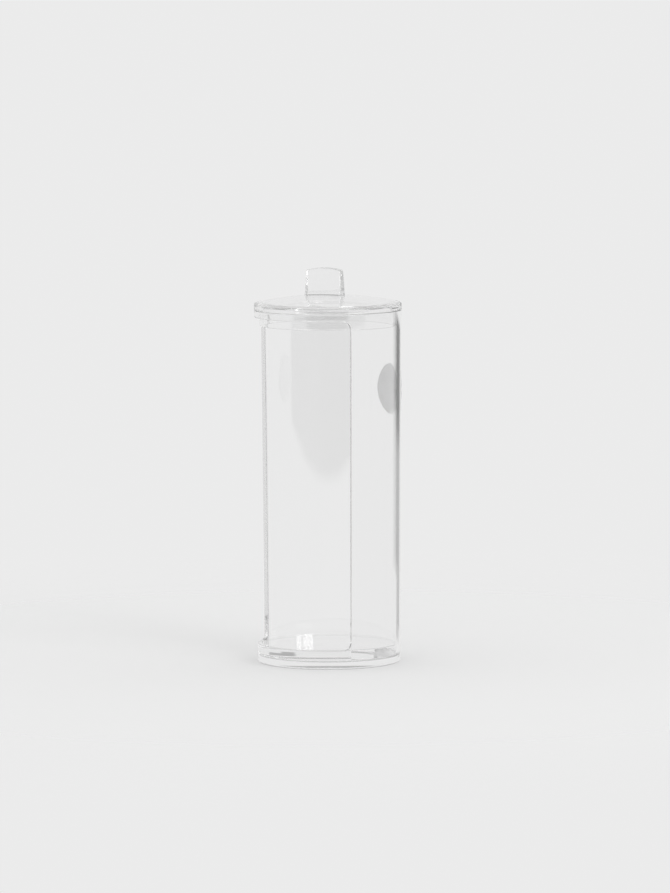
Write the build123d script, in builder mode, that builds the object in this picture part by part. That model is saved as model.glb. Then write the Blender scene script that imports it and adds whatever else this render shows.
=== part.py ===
"""Cotton pad container: a clear round tube with a wide side opening, a bonded base and a lift-off lid."""
from build123d import *
import math
import os

# Base, a solid disc with a raised plug that the tube is bonded round
base_flange_height = 3.8
base_plug_height = 5.0
base_bottom_round = 0.8
base_top_round = 0.5

# Tube, moulded with a slight draft, which makes it wider at the lid than at the base
tube_bottom_radius = 33.5
tube_draft = 1.1
tube_wall = 2.0
tube_length = 162.2
tube_rim_round = 0.4
bond_gap = 0.02

# Side opening, where the pads are taken out
opening_angle = 132.0
opening_corner_radius = 3.5
ring_above_opening = 3.4

# Lid, a domed disc with a rim, a spigot that drops into the tube, and a block knob
lid_rim_height = 3.4
lid_rim_round = 1.2
lid_overhang = 0.1
lid_dome_rise = 3.4
lid_thickness = 2.4
spigot_depth = 7.5
spigot_wall = 1.8
spigot_clearance = 0.3
spigot_round = 0.4

# Knob, a block that is wider at its foot than at its top, under a low arch, a little off the lid's middle
knob_foot_width = 18.0
knob_foot_depth = 6.6
knob_top_width = 17.1
knob_top_depth = 4.4
knob_height = 12.8
knob_sink = 0.6
knob_arch_rise = 1.2
knob_edge_round = 0.6
knob_turn = 28.0
knob_shift = 1.5

# Label, a plain round sticker on the outside of the wall
label_radius = 12.0
label_thickness = 0.15
label_gap = 0.05
label_angle = 161.5
label_height = 127.4
label_band_margin = 1.2

# Places that follow from the sizes above
base_radius = tube_bottom_radius
tube_top_radius = tube_bottom_radius + tube_draft
floor_height = base_flange_height + base_plug_height
tube_foot = base_flange_height
tube_top = tube_foot + tube_length
opening_bottom = floor_height
opening_top = tube_top - ring_above_opening
opening_height = opening_top - opening_bottom
draft_slope = tube_draft / tube_length
cutter_reach = 2 * tube_top_radius
corner_edge_limit = 1.2 * tube_wall
arc_middle_share = 1 - math.sqrt(0.5)


def outer_radius_at(height):
    """Outer radius of the drafted tube at a height above the table."""
    return tube_bottom_radius + draft_slope * (height - tube_foot)


def inner_radius_at(height):
    """Inner radius of the drafted tube at a height above the table."""
    return outer_radius_at(height) - tube_wall


# Base
plug_foot_radius = inner_radius_at(tube_foot) - bond_gap
plug_top_radius = inner_radius_at(floor_height) - bond_gap
with BuildPart() as base:
    with BuildSketch(Plane.XZ) as base_profile:
        with BuildLine() as base_outline:
            Polyline(
                (0, 0),
                (base_radius, 0),
                (base_radius, base_flange_height),
                (plug_foot_radius, base_flange_height),
                (plug_top_radius, floor_height),
                (0, floor_height),
                close=True,
            )
        make_face()
    revolve(axis=Axis.Z)
    base_rings = base.edges().filter_by(GeomType.CIRCLE)
    bottom_ring = base_rings.group_by(Axis.Z)[0]
    flange_ring = base_rings.group_by(Axis.Z)[1].sort_by(SortBy.RADIUS)[-1]
    fillet(bottom_ring, base_bottom_round)
    fillet(flange_ring, base_top_round)
base.part.label = "base"


def crosses_the_wall(edge):
    """True for a short edge that runs from the wall's outside to its inside."""
    return edge.geom_type == GeomType.LINE and edge.length < corner_edge_limit


# Tube, its wall turned first and the opening cut through one side
with BuildPart() as tube:
    with BuildSketch(Plane.XZ) as tube_profile:
        with BuildLine() as tube_outline:
            Polyline(
                (inner_radius_at(tube_foot), tube_foot),
                (outer_radius_at(tube_foot), tube_foot),
                (outer_radius_at(tube_top), tube_top),
                (inner_radius_at(tube_top), tube_top),
                close=True,
            )
        make_face()
    revolve(axis=Axis.Z)
    tube_rings = tube.edges().filter_by(GeomType.CIRCLE)
    fillet(tube_rings.group_by(Axis.Z)[0].sort_by(SortBy.RADIUS)[-1], tube_rim_round)
    fillet(tube_rings.group_by(Axis.Z)[-1], tube_rim_round)
    half_angle = math.radians(opening_angle / 2)
    wedge_x = cutter_reach * math.sin(half_angle)
    wedge_y = -cutter_reach * math.cos(half_angle)
    with BuildSketch(Plane.XY.offset(opening_bottom)) as opening_wedge:
        with BuildLine() as wedge_outline:
            Line((0, 0), (wedge_x, wedge_y))
            ThreePointArc((wedge_x, wedge_y), (0, -cutter_reach), (-wedge_x, wedge_y))
            Line((-wedge_x, wedge_y), (0, 0))
        make_face()
    extrude(amount=opening_height, mode=Mode.SUBTRACT)
    opening_corners = tube.edges().filter_by(crosses_the_wall)
    fillet(opening_corners, opening_corner_radius)
tube.part.label = "tube"

# Places on the lid
lid_radius = tube_top_radius + lid_overhang
lid_foot = tube_top
lid_rim_top = lid_foot + lid_rim_height
spigot_radius = inner_radius_at(tube_top - spigot_depth) - spigot_clearance
spigot_inner_radius = spigot_radius - spigot_wall
spigot_foot = lid_foot - spigot_depth
dome_edge_radius = lid_radius - lid_rim_round
dome_radius = (dome_edge_radius**2 + lid_dome_rise**2) / (2 * lid_dome_rise)
dome_centre = lid_rim_top + lid_dome_rise - dome_radius
under_dome_radius = dome_radius - lid_thickness


def dome_height_at(radius, sphere_radius):
    """Height of a sphere about the dome's centre at a distance from the axis."""
    return dome_centre + math.sqrt(sphere_radius**2 - radius**2)


# Knob, its arched front view and its tapered end view cut into one block
knob_foot = dome_height_at(0, dome_radius) - knob_sink
knob_top = dome_height_at(0, dome_radius) + knob_height
knob_shoulder = knob_top - knob_arch_rise
with BuildPart() as knob:
    with BuildSketch(Plane.XZ) as knob_front_view:
        with BuildLine() as knob_front_outline:
            Polyline(
                (knob_top_width / 2, knob_shoulder),
                (knob_foot_width / 2, knob_foot),
                (-knob_foot_width / 2, knob_foot),
                (-knob_top_width / 2, knob_shoulder),
            )
            ThreePointArc(
                (-knob_top_width / 2, knob_shoulder),
                (0, knob_top),
                (knob_top_width / 2, knob_shoulder),
            )
        make_face()
    extrude(amount=knob_foot_depth / 2, both=True)
    with BuildSketch(Plane.YZ) as knob_end_view:
        with BuildLine() as knob_end_outline:
            Polyline(
                (knob_foot_depth / 2, knob_foot),
                (knob_top_depth / 2, knob_top),
                (-knob_top_depth / 2, knob_top),
                (-knob_foot_depth / 2, knob_foot),
                close=True,
            )
        make_face()
    extrude(amount=knob_foot_width, both=True, mode=Mode.INTERSECT)
    fillet(knob.edges() - knob.faces().sort_by(Axis.Z)[0].edges(), knob_edge_round)

# Lid, turned as one section, with the knob standing on its dome
with BuildPart() as lid:
    with BuildSketch(Plane.XZ) as lid_profile:
        with BuildLine() as lid_outline:
            Line((0, dome_height_at(0, under_dome_radius)), (0, dome_height_at(0, dome_radius)))
            ThreePointArc(
                (0, dome_height_at(0, dome_radius)),
                (dome_edge_radius / 2, dome_height_at(dome_edge_radius / 2, dome_radius)),
                (dome_edge_radius, lid_rim_top),
            )
            ThreePointArc(
                (dome_edge_radius, lid_rim_top),
                (
                    lid_radius - lid_rim_round * arc_middle_share,
                    lid_rim_top - lid_rim_round * arc_middle_share,
                ),
                (lid_radius, lid_rim_top - lid_rim_round),
            )
            Polyline(
                (lid_radius, lid_rim_top - lid_rim_round),
                (lid_radius, lid_foot),
                (spigot_radius, lid_foot),
                (spigot_radius, spigot_foot),
                (spigot_inner_radius, spigot_foot),
                (spigot_inner_radius, dome_height_at(spigot_inner_radius, under_dome_radius)),
            )
            ThreePointArc(
                (spigot_inner_radius, dome_height_at(spigot_inner_radius, under_dome_radius)),
                (
                    spigot_inner_radius / 2,
                    dome_height_at(spigot_inner_radius / 2, under_dome_radius),
                ),
                (0, dome_height_at(0, under_dome_radius)),
            )
        make_face()
    revolve(axis=Axis.Z)
    fillet(lid.edges().filter_by(GeomType.CIRCLE).group_by(Axis.Z)[0], spigot_round)
    with Locations(Rot(0, 0, knob_turn) * Pos(-knob_shift, 0, 0)):
        add(knob.part)
lid.part.label = "lid"

# Label, a disc cut from a thin shell that hugs the drafted wall
label_low = label_height - label_radius - label_band_margin
label_high = label_height + label_radius + label_band_margin
label_low_radius = outer_radius_at(label_low) + label_gap
label_high_radius = outer_radius_at(label_high) + label_gap
label_turn = math.radians(label_angle)
label_plane = Plane(
    origin=(0, 0, label_height),
    z_dir=(math.sin(label_turn), -math.cos(label_turn), 0),
)
with BuildPart() as label:
    with BuildSketch(Plane.XZ) as label_profile:
        with BuildLine() as label_outline:
            Polyline(
                (label_low_radius, label_low),
                (label_low_radius + label_thickness, label_low),
                (label_high_radius + label_thickness, label_high),
                (label_high_radius, label_high),
                close=True,
            )
        make_face()
    revolve(axis=Axis.Z)
    with BuildSketch(label_plane) as label_disc:
        Circle(label_radius)
    extrude(amount=cutter_reach, mode=Mode.INTERSECT)
label.part.label = "label"

os.makedirs("parts", exist_ok=True)
export_step(base.part, "parts/base.step")
export_step(tube.part, "parts/tube.step")
export_step(lid.part, "parts/lid.step")
export_step(label.part, "parts/label.step")
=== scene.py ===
import math
import bmesh
import bpy
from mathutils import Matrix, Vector


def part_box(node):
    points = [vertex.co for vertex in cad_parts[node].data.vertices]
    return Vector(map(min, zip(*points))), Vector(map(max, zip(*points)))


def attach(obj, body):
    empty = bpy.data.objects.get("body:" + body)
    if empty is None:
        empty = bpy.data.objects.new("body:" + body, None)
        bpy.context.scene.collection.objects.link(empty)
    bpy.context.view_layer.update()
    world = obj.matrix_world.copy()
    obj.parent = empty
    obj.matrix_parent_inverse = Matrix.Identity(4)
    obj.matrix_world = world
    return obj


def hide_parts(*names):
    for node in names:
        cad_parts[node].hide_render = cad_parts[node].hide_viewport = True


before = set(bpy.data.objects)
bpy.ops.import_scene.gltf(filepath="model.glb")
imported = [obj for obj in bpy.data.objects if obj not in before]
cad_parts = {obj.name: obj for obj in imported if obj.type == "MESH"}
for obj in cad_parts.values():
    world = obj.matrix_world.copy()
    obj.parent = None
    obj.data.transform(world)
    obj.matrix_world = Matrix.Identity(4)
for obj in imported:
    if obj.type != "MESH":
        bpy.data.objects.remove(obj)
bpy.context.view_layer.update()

MM = 0.001

# Sizes that the frame gives
base_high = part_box("base")[1]
tube_low, tube_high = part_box("tube")
lid_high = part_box("lid")[1]
base_radius = base_high.x
floor_height = base_high.z
tube_foot = tube_low.z
tube_top = tube_high.z
lid_radius = lid_high.x

# Wall and side opening
tube_wall = 2.0 * MM
tube_draft = 1.1 * MM
opening_half_angle = math.radians(66.0)
opening_corner_radius = 3.5 * MM
ring_above_opening = 3.4 * MM
opening_bottom = floor_height
opening_top = tube_top - ring_above_opening
cut_edge_round = 0.3 * MM
draft_slope = tube_draft / (tube_top - tube_foot)
radius_at_table = base_radius - draft_slope * tube_foot

# Base
base_bottom_round = 0.8 * MM
base_top_round = 0.5 * MM
plug_top_round = 0.3 * MM
bond_gap = 0.03 * MM

# Lid
lid_rim_height = 3.4 * MM
lid_rim_round = 1.2 * MM
lid_shoulder_round = 0.9 * lid_rim_round
lid_dome_rise = 3.4 * MM
lid_thickness = 2.4 * MM
spigot_depth = 7.5 * MM
spigot_wall = 1.8 * MM
spigot_clearance = 0.3 * MM
spigot_round = 0.4 * MM
lid_foot_round = 0.3 * MM

# Knob
knob_foot_width = 18.0 * MM
knob_foot_depth = 6.6 * MM
knob_top_width = 17.1 * MM
knob_top_depth = 4.4 * MM
knob_sink = 0.6 * MM
knob_height = 12.8 * MM
knob_arch_rise = 1.2 * MM
knob_edge_round = 0.6 * MM
knob_turn = math.radians(28.0)
knob_shift = 1.5 * MM

# Label
label_radius = 12.0 * MM
label_thickness = 0.15 * MM
label_gap = 0.05 * MM
label_edge_round = 0.04 * MM
label_angle = math.radians(161.5)
label_height = 127.4 * MM

# Clear plastic: its surface, its faint flow waves, and where handling has roughened it
plastic_tint = (0.985, 0.985, 0.985, 1)
plastic_ior = 1.57
flow_scale = 28.0
flow_detail = 2.0
flow_strength = 0.03
flow_depth = 0.2 * MM
handling_scale = 90.0
handling_detail = 4.0
handling_start = 0.45
handling_end = 0.7
smooth_roughness = 0.004
handled_roughness = 0.012

# How the plastic dims light over a metre of its depth
plastic_depth_colour = (0.10, 0.10, 0.10, 1)
plastic_density = 0.4

# Label paper: its fibres, its cloudy shade, and how much light it lets through
paper_dark = (0.93, 0.93, 0.93, 1)
paper_light = (0.97, 0.97, 0.97, 1)
fibre_scale = 1800.0
fibre_detail = 3.0
fibre_strength = 0.3
fibre_depth = 0.03 * MM
fibre_share = 0.4
cloud_scale = 160.0
cloud_detail = 2.0
cloud_share = 0.6
paper_roughness = 0.62
fibre_roughness = 0.1
paper_translucency = 0.8

# How finely round things are divided
turn_steps = 360
arc_steps = 12
round_steps = 4
opening_corner_steps = 8
label_edge_steps = 2
label_sides = 96
label_columns = 40
table_sides = 180

# How near counts as the same place, how sharp an edge is before it is rounded or left sharp,
# and how little the normal of a glued face may rise
closeness = 0.01 * MM
doubles_distance = 0.001 * MM
cut_threshold = 1e-7
column_reach = 0.1 * MM
rim_angle = math.radians(60.0)
knob_edge_angle = math.radians(50.0)
smoothing_angle = math.radians(40.0)
upright_slant = 0.1


def inner_radius_at(height):
    """Inner radius of the drafted tube at a height above the table."""
    return radius_at_table + draft_slope * height - tube_wall


def choose(piece):
    """Makes a piece the only selected one and the active one."""
    bpy.ops.object.select_all(action="DESELECT")
    piece.select_set(True)
    bpy.context.view_layer.objects.active = piece


def start_on(piece):
    """Chooses a piece and opens its mesh."""
    choose(piece)
    bpy.ops.object.mode_set(mode="EDIT")


def close_up():
    """Closes the mesh that is being shaped."""
    bpy.ops.object.mode_set(mode="OBJECT")


def settle():
    """Makes the chosen piece's place, turn and scale part of its mesh."""
    bpy.ops.object.transform_apply(location=True, rotation=True, scale=True)


def pick(kind, wanted):
    """Selects those vertices, edges or faces of the open mesh that pass a test."""
    mode = {"verts": "VERT", "edges": "EDGE", "faces": "FACE"}[kind]
    bpy.ops.mesh.select_mode(type=mode)
    bpy.ops.mesh.select_all(action="DESELECT")
    data = bpy.context.object.data
    mesh = bmesh.from_edit_mesh(data)
    for element in getattr(mesh, kind):
        if wanted(element):
            element.select_set(True)
    mesh.select_flush_mode()
    bmesh.update_edit_mesh(data)


def cut_through(place, direction):
    """Cuts the whole open mesh along a plane."""
    bpy.ops.mesh.select_all(action="SELECT")
    bpy.ops.mesh.bisect(plane_co=place, plane_no=direction, threshold=cut_threshold)


def round_off(radius, steps, affect):
    """Rounds the selected edges or vertices of the open mesh with part of a circle."""
    bpy.ops.mesh.bevel(offset=radius, segments=steps, profile=0.5, affect=affect)


def draw_section(name, points):
    """Starts a piece at one point of its half section and extrudes it from point to point."""
    bpy.ops.object.select_all(action="DESELECT")
    bpy.ops.mesh.primitive_plane_add(size=MM)
    piece = bpy.context.object
    piece.name = name
    bpy.ops.object.mode_set(mode="EDIT")
    bpy.ops.mesh.select_mode(type="VERT")
    bpy.ops.mesh.merge(type="CENTER")
    bpy.ops.transform.translate(value=(points[0][0], 0, points[0][1]))
    for here, there in zip(points, points[1:]):
        step = (there[0] - here[0], 0, there[1] - here[1])
        bpy.ops.mesh.extrude_vertices_move(TRANSFORM_OT_translate={"value": step})
    return piece


def round_corner(corner, radius):
    """Rounds one corner of the open section."""
    place = Vector((corner[0], 0, corner[1]))
    pick("verts", lambda vertex: (vertex.co - place).length < closeness)
    round_off(radius, round_steps, "VERTICES")


def turn_round_axis():
    """Turns the open section into a closed solid of revolution."""
    bpy.ops.mesh.select_all(action="SELECT")
    bpy.ops.mesh.spin(steps=turn_steps, angle=math.tau, center=(0, 0, 0), axis=(0, 0, 1))
    tidy_mesh()
    close_up()


def tidy_mesh():
    """Joins doubled vertices of the open mesh and turns its faces outwards."""
    bpy.ops.mesh.select_all(action="SELECT")
    bpy.ops.mesh.remove_doubles(threshold=doubles_distance)
    bpy.ops.mesh.select_all(action="SELECT")
    bpy.ops.mesh.normals_make_consistent(inside=False)


def apply_modifier(piece, kind, **settings):
    """Adds one modifier with its settings and applies it."""
    choose(piece)
    modifier = piece.modifiers.new(kind, kind)
    for setting, value in settings.items():
        setattr(modifier, setting, value)
    bpy.ops.object.modifier_apply(modifier=modifier.name)


def smooth_over(piece):
    """Shades the rounds smoothly and keeps the broad faces true."""
    choose(piece)
    bpy.ops.object.shade_smooth_by_angle(angle=smoothing_angle)
    apply_modifier(piece, "WEIGHTED_NORMAL", keep_sharp=True)


def roll_round_axis(piece, span, bend_radius):
    """Rolls a flat upright piece round the axis over an angle, and opens it to the tube's draft."""
    apply_modifier(piece, "SIMPLE_DEFORM", deform_method="BEND", deform_axis="Z", angle=span)
    start_on(piece)
    bpy.ops.mesh.select_all(action="SELECT")
    bpy.ops.transform.translate(value=(0, -bend_radius, 0))
    tidy_mesh()
    close_up()
    heights = [vertex.co.z for vertex in piece.data.vertices]
    opening_out = draft_slope * (max(heights) - min(heights)) / radius_at_table
    apply_modifier(piece, "SIMPLE_DEFORM", deform_method="TAPER", deform_axis="Z", factor=opening_out)


def make_base():
    """The base: a disc with rounded edges and the plug that stands up inside the tube."""
    plug_foot_radius = inner_radius_at(tube_foot) - bond_gap
    plug_top_radius = inner_radius_at(floor_height) - bond_gap
    corners = [
        (0, 0),
        (base_radius, 0),
        (base_radius, tube_foot),
        (plug_foot_radius, tube_foot),
        (plug_top_radius, floor_height),
        (0, floor_height),
    ]
    base = draw_section("clear_base", corners)
    round_corner(corners[1], base_bottom_round)
    round_corner(corners[2], base_top_round)
    round_corner(corners[4], plug_top_round)
    turn_round_axis()
    smooth_over(base)
    return base


def make_tube():
    """The tube: its wall laid out flat, cut out, thickened, rounded and rolled up."""
    wall_width = math.tau * radius_at_table
    edge = opening_half_angle * radius_at_table
    foot = tube_foot + bond_gap
    top = tube_top - bond_gap
    bpy.ops.object.select_all(action="DESELECT")
    bpy.ops.mesh.primitive_plane_add(
        size=1,
        location=(0, 0, (foot + top) / 2),
        rotation=(math.pi / 2, 0, 0),
    )
    tube = bpy.context.object
    tube.name = "clear_tube"
    tube.scale = (wall_width, top - foot, 1)
    settle()

    start_on(tube)
    for place in (-edge, 0, edge):
        cut_through((place, 0, 0), (1, 0, 0))
    for height in (opening_bottom, opening_top):
        cut_through((0, 0, height), (0, 0, 1))

    def in_opening(face):
        middle = face.calc_center_median()
        return abs(middle.x) < edge and opening_bottom < middle.z < opening_top

    def leads_away_from_corner(line):
        middle = (line.verts[0].co + line.verts[1].co) / 2
        within_width = edge + MM < abs(middle.x) < wall_width / 2 - MM
        within_height = foot + MM < middle.z < top - MM
        in_line_with_side = abs(abs(middle.x) - edge) < closeness
        at_opening = opening_bottom < middle.z < opening_top
        return (within_width and within_height) or (in_line_with_side and not at_opening)

    def is_corner(vertex):
        on_side = abs(abs(vertex.co.x) - edge) < closeness
        on_bottom = abs(vertex.co.z - opening_bottom) < closeness
        on_top = abs(vertex.co.z - opening_top) < closeness
        return on_side and (on_bottom or on_top)

    pick("faces", in_opening)
    bpy.ops.mesh.delete(type="FACE")
    pick("edges", leads_away_from_corner)
    bpy.ops.mesh.dissolve_edges(use_verts=False)
    pick("verts", is_corner)
    round_off(opening_corner_radius, opening_corner_steps, "VERTICES")
    close_up()
    apply_modifier(tube, "SOLIDIFY", thickness=tube_wall, offset=-1)

    def at_seam(place):
        return abs(abs(place.x) - wall_width / 2) < closeness

    def is_rim(line):
        across_seam = all(at_seam(vertex.co) for vertex in line.verts)
        return not across_seam and line.calc_face_angle(0) > rim_angle

    start_on(tube)
    pick("edges", is_rim)
    round_off(cut_edge_round, round_steps, "EDGES")
    pick("faces", lambda face: all(at_seam(vertex.co) for vertex in face.verts))
    bpy.ops.mesh.delete(type="FACE")
    for step in range(turn_steps):
        share = (step + 0.5) / turn_steps - 0.5
        cut_through((share * wall_width, 0, 0), (1, 0, 0))
    close_up()
    roll_round_axis(tube, math.tau, radius_at_table)
    smooth_over(tube)
    return tube


def make_knob(foot, top):
    """The knob: a block tapered towards its arched top, with rounded edges."""
    height = top - foot
    bpy.ops.object.select_all(action="DESELECT")
    bpy.ops.mesh.primitive_cube_add(size=1, location=(0, 0, foot + height / 2))
    knob = bpy.context.object
    knob.name = "knob"
    knob.scale = (knob_foot_width, knob_foot_depth, height)
    settle()
    start_on(knob)
    for step in range(1, arc_steps):
        cut_through(((step / arc_steps - 0.5) * knob_foot_width, 0, 0), (1, 0, 0))
    pick("verts", lambda vertex: vertex.co.z > top - closeness)
    narrowing = (knob_top_width / knob_foot_width, knob_top_depth / knob_foot_depth, 1)
    bpy.ops.transform.resize(value=narrowing, center_override=(0, 0, top))
    arch_radius = ((knob_top_width / 2) ** 2 + knob_arch_rise**2) / (2 * knob_arch_rise)
    for step in range(arc_steps + 1):
        place = (step / arc_steps - 0.5) * knob_top_width
        drop = arch_radius - math.sqrt(arch_radius**2 - place**2)
        pick(
            "verts",
            lambda vertex: vertex.co.z > top - closeness and abs(vertex.co.x - place) < column_reach,
        )
        bpy.ops.transform.translate(value=(0, 0, -drop))

    def is_edge(line):
        at_foot = all(vertex.co.z < foot + closeness for vertex in line.verts)
        return not at_foot and line.calc_face_angle(0) > knob_edge_angle

    pick("edges", is_edge)
    round_off(knob_edge_round, round_steps, "EDGES")
    close_up()
    knob.rotation_euler.z = knob_turn
    knob.location = (-knob_shift * math.cos(knob_turn), -knob_shift * math.sin(knob_turn), 0)
    settle()
    return knob


def make_lid():
    """The lid: a domed disc with a rim and a spigot, moulded in one with its knob."""
    foot = tube_top
    rim_top = foot + lid_rim_height
    spigot_radius = inner_radius_at(tube_top - spigot_depth) - spigot_clearance
    spigot_inner_radius = spigot_radius - spigot_wall
    dome_edge = lid_radius - lid_rim_round
    dome_radius = (dome_edge**2 + lid_dome_rise**2) / (2 * lid_dome_rise)
    dome_centre = rim_top + lid_dome_rise - dome_radius

    def arc(start_radius, end_radius, sphere_radius):
        """Points of the dome's section between two distances from the axis."""
        points = []
        for step in range(arc_steps + 1):
            distance = start_radius + (end_radius - start_radius) * step / arc_steps
            points.append((distance, dome_centre + math.sqrt(sphere_radius**2 - distance**2)))
        return points

    upper_arc = arc(0, dome_edge, dome_radius)
    under_arc = arc(spigot_inner_radius, 0, dome_radius - lid_thickness)
    shoulder = (lid_radius, rim_top)
    rim_foot = (lid_radius, foot + bond_gap)
    seat = (spigot_radius, foot + bond_gap)
    spigot_outside = (spigot_radius, foot - spigot_depth)
    spigot_inside = (spigot_inner_radius, foot - spigot_depth)
    rim_and_spigot = [shoulder, rim_foot, seat, spigot_outside, spigot_inside]
    lid = draw_section("clear_lid", upper_arc + rim_and_spigot + under_arc)
    round_corner(shoulder, lid_shoulder_round)
    round_corner(rim_foot, lid_foot_round)
    round_corner(spigot_outside, spigot_round)
    round_corner(spigot_inside, spigot_round)
    turn_round_axis()
    dome_top = dome_centre + dome_radius
    knob = make_knob(dome_top - knob_sink, dome_top + knob_height)
    apply_modifier(lid, "BOOLEAN", operation="UNION", object=knob, solver="EXACT")
    bpy.data.objects.remove(knob)
    start_on(lid)
    tidy_mesh()
    close_up()
    smooth_over(lid)
    return lid


def make_label():
    """The label: a round sticker of paper, thickened, softened at its edge and bent round the wall."""
    bend_radius = radius_at_table + label_gap
    bpy.ops.object.select_all(action="DESELECT")
    bpy.ops.mesh.primitive_circle_add(
        vertices=label_sides,
        radius=label_radius,
        fill_type="NGON",
        location=(0, 0, label_height),
        rotation=(math.pi / 2, 0, 0),
    )
    label = bpy.context.object
    label.name = "label_paper"
    settle()
    apply_modifier(label, "SOLIDIFY", thickness=label_thickness, offset=1)
    start_on(label)
    pick("edges", lambda line: line.calc_face_angle(0) > rim_angle)
    round_off(label_edge_round, label_edge_steps, "EDGES")
    for step in range(1, label_columns):
        cut_through(((step / label_columns - 0.5) * 2 * label_radius, 0, 0), (1, 0, 0))
    close_up()
    roll_round_axis(label, 2 * label_radius / bend_radius, bend_radius)
    label.rotation_euler.z = label_angle
    settle()
    smooth_over(label)
    return label


class Value:
    """One output socket of a finish, which Python's arithmetic extends with Math nodes."""

    def __init__(self, finish, socket):
        self.finish = finish
        self.socket = socket

    def maths(self, operation, *values):
        return self.finish.add("Math", {"operation": operation}, dict(enumerate(values)))

    def __add__(self, other):
        return self.maths("ADD", self, other)

    def __radd__(self, other):
        return self.maths("ADD", other, self)

    def __sub__(self, other):
        return self.maths("SUBTRACT", self, other)

    def __rsub__(self, other):
        return self.maths("SUBTRACT", other, self)

    def __mul__(self, other):
        return self.maths("MULTIPLY", self, other)

    def __rmul__(self, other):
        return self.maths("MULTIPLY", other, self)


class Finish:
    """The nodes of one material or of the world."""

    def __init__(self, owner):
        owner.use_nodes = True
        self.tree = owner.node_tree
        self.tree.nodes.clear()

    def add(self, kind, settings=None, sockets=None, output=0):
        """Adds a node with its settings, then its sockets' values or links, and returns an output."""
        node = self.tree.nodes.new("ShaderNode" + kind)
        for setting, value in (settings or {}).items():
            setattr(node, setting, value)
        for socket, value in (sockets or {}).items():
            if isinstance(value, Value):
                self.tree.links.new(value.socket, node.inputs[socket])
            else:
                node.inputs[socket].default_value = value
        return Value(self, node.outputs[output]) if node.outputs else None


def step_between(finish, value, low, high):
    """0 below one value and 1 above another, with a smooth rise between them."""
    limits = {"Value": value, "From Min": low, "From Max": high}
    return finish.add("MapRange", {"interpolation_type": "SMOOTHSTEP"}, limits)


def noise(finish, place, scale, detail):
    """Cloudy values from 0 to 1."""
    return finish.add("TexNoise", {}, {"Vector": place, "Scale": scale, "Detail": detail})


def bump(finish, height, strength, depth):
    """A surface's normal, tilted by small heights."""
    sockets = {"Height": height, "Strength": strength, "Distance": depth}
    return finish.add("Bump", {}, sockets, "Normal")


def plastic_inside(finish):
    """The inside of the plastic, which dims light on its way through."""
    colour_and_density = {"Color": plastic_depth_colour, "Density": plastic_density}
    return finish.add("VolumeAbsorption", {}, colour_and_density)


def clear_plastic():
    """Clear moulded plastic with faint flow waves and a barely handled surface."""
    material = bpy.data.materials.new("clear_moulded_plastic")
    finish = Finish(material)
    place = finish.add("TexCoord", output="Object")
    flow = noise(finish, place, flow_scale, flow_detail)
    handling = noise(finish, place, handling_scale, handling_detail)
    normal = bump(finish, flow, flow_strength, flow_depth)
    handled = step_between(finish, handling, handling_start, handling_end)
    shader = finish.add(
        "BsdfPrincipled",
        {},
        {
            "Base Color": plastic_tint,
            "Roughness": smooth_roughness + handled_roughness * handled,
            "IOR": plastic_ior,
            "Transmission Weight": 1.0,
            "Normal": normal,
        },
    )
    finish.add("OutputMaterial", {}, {"Surface": shader, "Volume": plastic_inside(finish)})
    return material


def bonded_joint():
    """The glued faces between base and tube, which let light through as one solid."""
    material = bpy.data.materials.new("bonded_joint")
    finish = Finish(material)
    shader = finish.add(
        "BsdfPrincipled",
        {},
        {"Base Color": (1, 1, 1, 1), "Roughness": 0.0, "IOR": 1.0, "Transmission Weight": 1.0},
    )
    finish.add("OutputMaterial", {}, {"Surface": shader, "Volume": plastic_inside(finish)})
    return material


def bond(piece, joint):
    """Gives the glued faces of the base or the tube their own finish."""
    piece.data.materials.append(joint)
    for face in piece.data.polygons:
        reach = math.hypot(face.center.x, face.center.y)
        upright = abs(face.normal.z) < upright_slant
        beside_plug = abs(reach - inner_radius_at(face.center.z)) < 2 * bond_gap
        if upright and beside_plug and tube_foot < face.center.z < floor_height:
            face.material_index = len(piece.data.materials) - 1


def label_paper():
    """Plain matte sticker paper with its fibres, thin enough to let light through."""
    material = bpy.data.materials.new("matte_label_paper")
    finish = Finish(material)
    place = finish.add("TexCoord", output="Object")
    fibres = noise(finish, place, fibre_scale, fibre_detail)
    clouds = noise(finish, place, cloud_scale, cloud_detail)
    shade = clouds * cloud_share + fibres * fibre_share
    colour = finish.add(
        "Mix",
        {"data_type": "RGBA"},
        {"Factor": shade, "A": paper_dark, "B": paper_light},
        "Result",
    )
    normal = bump(finish, fibres, fibre_strength, fibre_depth)
    shader = finish.add(
        "BsdfPrincipled",
        {},
        {
            "Base Color": colour,
            "Roughness": paper_roughness + fibre_roughness * fibres,
            "Transmission Weight": paper_translucency,
            "Normal": normal,
        },
    )
    finish.add("OutputMaterial", {}, {"Surface": shader})
    return material


# The camera as it stood for the photograph: places in metres, lens and frame in millimetres
camera_place = Vector((2.2474, -2.0236, 0.4006))
camera_target = Vector((0.00206, 0.00229, 0.1013))
camera_lens = 260.7
camera_frame = 36.0
camera_roll = math.radians(-0.25)
camera_angle = math.radians(48.0)

# The table, and how far from the object it fades out of the camera's sight, in metres
table_radius = 0.9
table_drop = 0.1 * MM
table_colour = (0.90, 0.90, 0.90, 1)
table_fade_start = 0.12
table_fade_end = 0.45
table_near_fade = 0.5

# The window: its sill and height in metres, and its panes' first and last angles in degrees
window_distance = 2.0
window_sill = 0.267
window_height = 1.5
window_strength = 3.2
window_panes = (("narrow_pane", 121.0, 130.4), ("wide_pane", 134.0, 151.6))

# The room's pale level, and how often light is followed through the plastic
pale = 0.833
light_bounces = 96

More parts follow.
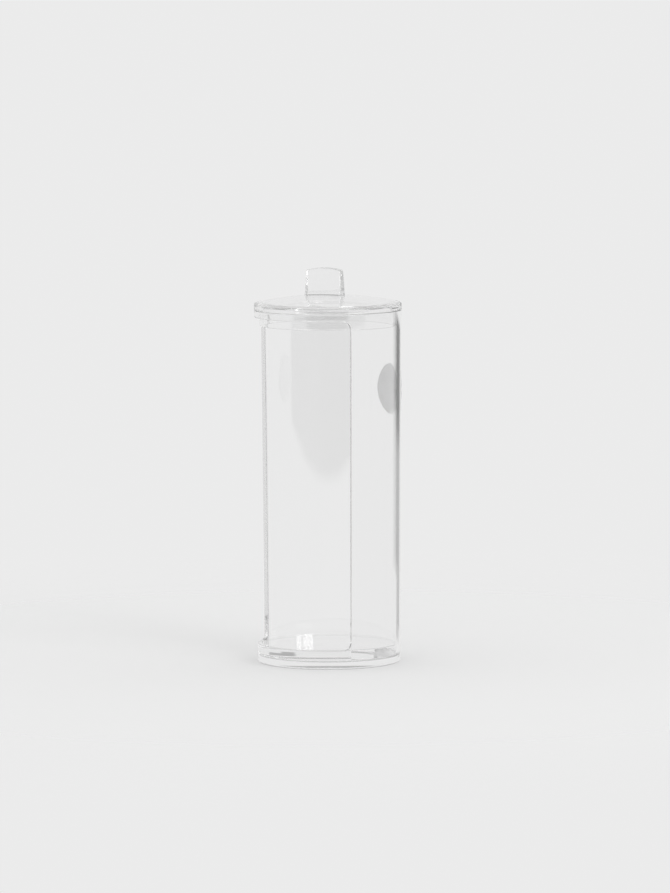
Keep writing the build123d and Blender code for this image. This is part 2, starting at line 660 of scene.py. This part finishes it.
# Dark bands of the room, as angles seen from the object. A reach sideways or a rise is given
# as its start, its end and its softness. The front band curves up towards its ends, and the
# side band is darker in its upper part.
front_band_reach = (math.radians(-36.0), math.radians(65.0), math.radians(2.0))
front_band_depth = math.radians(5.16)
front_band_height = math.radians(2.3)
front_band_soft = math.radians(0.05)
front_band_curve = 0.0055
side_band_reach = (math.radians(21.5), math.radians(50.0), math.radians(2.0))
side_band_rise = (math.radians(-6.95), math.radians(-4.73), math.radians(0.04))
side_fade_low = math.radians(-5.95)
side_fade_high = math.radians(-5.5)
side_dark_low = 0.48
side_dark_high = 0.8
foot_band_reach = (math.radians(22.0), math.radians(34.0), math.radians(2.0))
foot_band_rise = (math.radians(-7.45), math.radians(-6.95), math.radians(0.04))
foot_darkness = 0.48

# Steep directions below the table's level, which are dimmer for light that the plastic mirrored
steep_start = math.radians(8.0)
steep_end = math.radians(25.0)
steep_darkness = 0.45

# Light that was mirrored more often than this inside the plastic meets an even room
guided_after = 1.5
guided_darkness = 0.1


def direction_at(turn, rise):
    """Direction from the object by its rise and by its turn.

    The turn is clockwise from straight behind the object, as the camera sees it.
    """
    angle = camera_angle - turn
    flat = Vector((-math.sin(angle), math.cos(angle), 0))
    return flat * math.cos(rise) + Vector((0, 0, math.sin(rise)))


def make_camera():
    """The camera at the photograph's place, rolled as it was."""
    data = bpy.data.cameras.new("camera")
    data.lens = camera_lens
    data.sensor_width = camera_frame
    camera = bpy.data.objects.new("camera", data)
    bpy.context.scene.collection.objects.link(camera)
    camera.location = camera_place
    aim = (camera_target - camera_place).to_track_quat("-Z", "Y").to_matrix().to_4x4()
    camera.rotation_euler = aim.to_euler()
    camera.rotation_euler.rotate_axis("Z", camera_roll)
    bpy.context.scene.camera = camera


def make_world():
    """A pale room, even for the camera, and with dark bands for the plastic.

    One low band lies on the camera's side. Another lies behind the object and to the right,
    with a shorter one under it. Steep directions are dimmer for mirrored light, and light
    that was mirrored again and again meets an even room, or it would speckle the cut edges.
    """
    world = bpy.data.worlds.new("room")
    bpy.context.scene.world = world
    finish = Finish(world)
    direction = finish.add("TexCoord", output="Generated")

    def along(way):
        """How far the direction that is looked in points another way."""
        return finish.add("VectorMath", {"operation": "DOT_PRODUCT"}, {0: direction, 1: way}, "Value")

    ahead = along(direction_at(0, 0))
    aside = along(direction_at(math.pi / 2, 0))
    up = along((0, 0, 1))
    rise = finish.add("Math", {"operation": "ARCSINE"}, {0: up})
    turn = finish.add("Math", {"operation": "ARCTAN2"}, {0: aside, 1: ahead})
    facing = finish.add("Math", {"operation": "ARCTAN2"}, {0: aside, 1: 0 - ahead})

    def between(value, low, high, soft):
        """1 between two angles and 0 outside them, with soft edges."""
        started = step_between(finish, value, low - soft, low + soft)
        ended = step_between(finish, value, high - soft, high + soft)
        return started * (1 - ended)

    front_lifted = rise + front_band_depth - front_band_curve * (facing * facing)
    front_across = between(facing, *front_band_reach)
    front_band = front_across * between(front_lifted, 0, front_band_height, front_band_soft)
    side_band = between(turn, *side_band_reach) * between(rise, *side_band_rise)
    side_fade = step_between(finish, rise, side_fade_low, side_fade_high)
    side_darkness = side_dark_low + (side_dark_high - side_dark_low) * side_fade
    foot_band = between(turn, *foot_band_reach) * between(rise, *foot_band_rise)
    mirrorings = finish.add("LightPath", output="Glossy Depth")
    mirrored = finish.add("Math", {"operation": "MINIMUM"}, {0: mirrorings, 1: 1.0})
    steep = steep_darkness * mirrored * step_between(finish, 0 - rise, steep_start, steep_end)
    bands = (1 - front_band) * (1 - side_band * side_darkness) * (1 - foot_band * foot_darkness)
    guided = finish.add("Math", {"operation": "GREATER_THAN"}, {0: mirrorings, 1: guided_after})
    level = ((1 - guided) * bands + guided * (1 - guided_darkness)) * (1 - steep)
    seen = finish.add("LightPath", output="Is Camera Ray")
    strength = pale * (seen + (1 - seen) * level)
    background = finish.add("Background", {}, {"Color": (1, 1, 1, 1), "Strength": strength})
    finish.add("OutputWorld", {}, {"Surface": background})


def make_table():
    """The pale table top, which fades away from the object for the camera.

    Light that comes through the plastic or is mirrored by it doesn't meet the table.
    """
    bpy.ops.object.select_all(action="DESELECT")
    bpy.ops.mesh.primitive_circle_add(
        vertices=table_sides,
        radius=table_radius,
        fill_type="NGON",
        location=(0, 0, -table_drop),
    )
    table = bpy.context.object
    table.name = "table_top"
    settle()
    material = bpy.data.materials.new("pale_table")
    finish = Finish(material)
    place = finish.add("TexCoord", output="Object")
    reach = finish.add("VectorMath", {"operation": "LENGTH"}, {0: place}, "Value")
    straight = finish.add("LightPath", output="Is Camera Ray")
    through = finish.add("LightPath", output="Is Transmission Ray")
    mirrored = finish.add("LightPath", output="Is Glossy Ray")
    bent = finish.add("Math", {"operation": "MAXIMUM"}, {0: through, 1: mirrored})
    far = step_between(finish, reach, table_fade_start, table_fade_end)
    faded = table_near_fade + (1 - table_near_fade) * far
    fading = straight * faded + (1 - straight) * bent
    surface = finish.add("BsdfDiffuse", {}, {"Color": table_colour}, "BSDF")
    clear = finish.add("BsdfTransparent", {}, {}, "BSDF")
    mixed = finish.add("MixShader", {}, {0: fading, 1: surface, 2: clear})
    finish.add("OutputMaterial", {}, {"Surface": mixed})
    table.data.materials.append(material)


def make_window():
    """Two panes of a tall window to the right of the camera."""
    for name, first, last in window_panes:
        middle = math.radians((first + last) / 2)
        way = direction_at(middle, 0)
        data = bpy.data.lights.new(name, "AREA")
        data.shape = "RECTANGLE"
        data.size = 2 * window_distance * math.tan(math.radians((last - first) / 2))
        data.size_y = window_height
        data.energy = window_strength * data.size * data.size_y * math.pi
        lamp = bpy.data.objects.new(name, data)
        bpy.context.scene.collection.objects.link(lamp)
        lamp.location = way * window_distance + Vector((0, 0, window_sill + data.size_y / 2))
        lamp.rotation_euler = (-way).to_track_quat("-Z", "Y").to_euler()
        lamp.visible_camera = False


# Pieces
plastic = clear_plastic()
paper = label_paper()
joint = bonded_joint()
for piece, node, body, slot, material in (
    (make_base(), "base", "container", "clear_base", plastic),
    (make_tube(), "tube", "container", "clear_tube", plastic),
    (make_label(), "label", "container", "label_paper", paper),
    (make_lid(), "lid", "lid", "clear_lid", plastic),
):
    piece.data.materials.clear()
    piece.data.materials.append(material)
    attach(piece, body)
    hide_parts(node)
    if body == "container" and material == plastic:
        bond(piece, joint)

make_camera()
make_world()
make_table()
make_window()
bpy.context.scene.view_settings.view_transform = "Standard"
bpy.context.scene.cycles.max_bounces = light_bounces
bpy.context.scene.cycles.transmission_bounces = light_bounces
bpy.context.scene.cycles.glossy_bounces = light_bounces
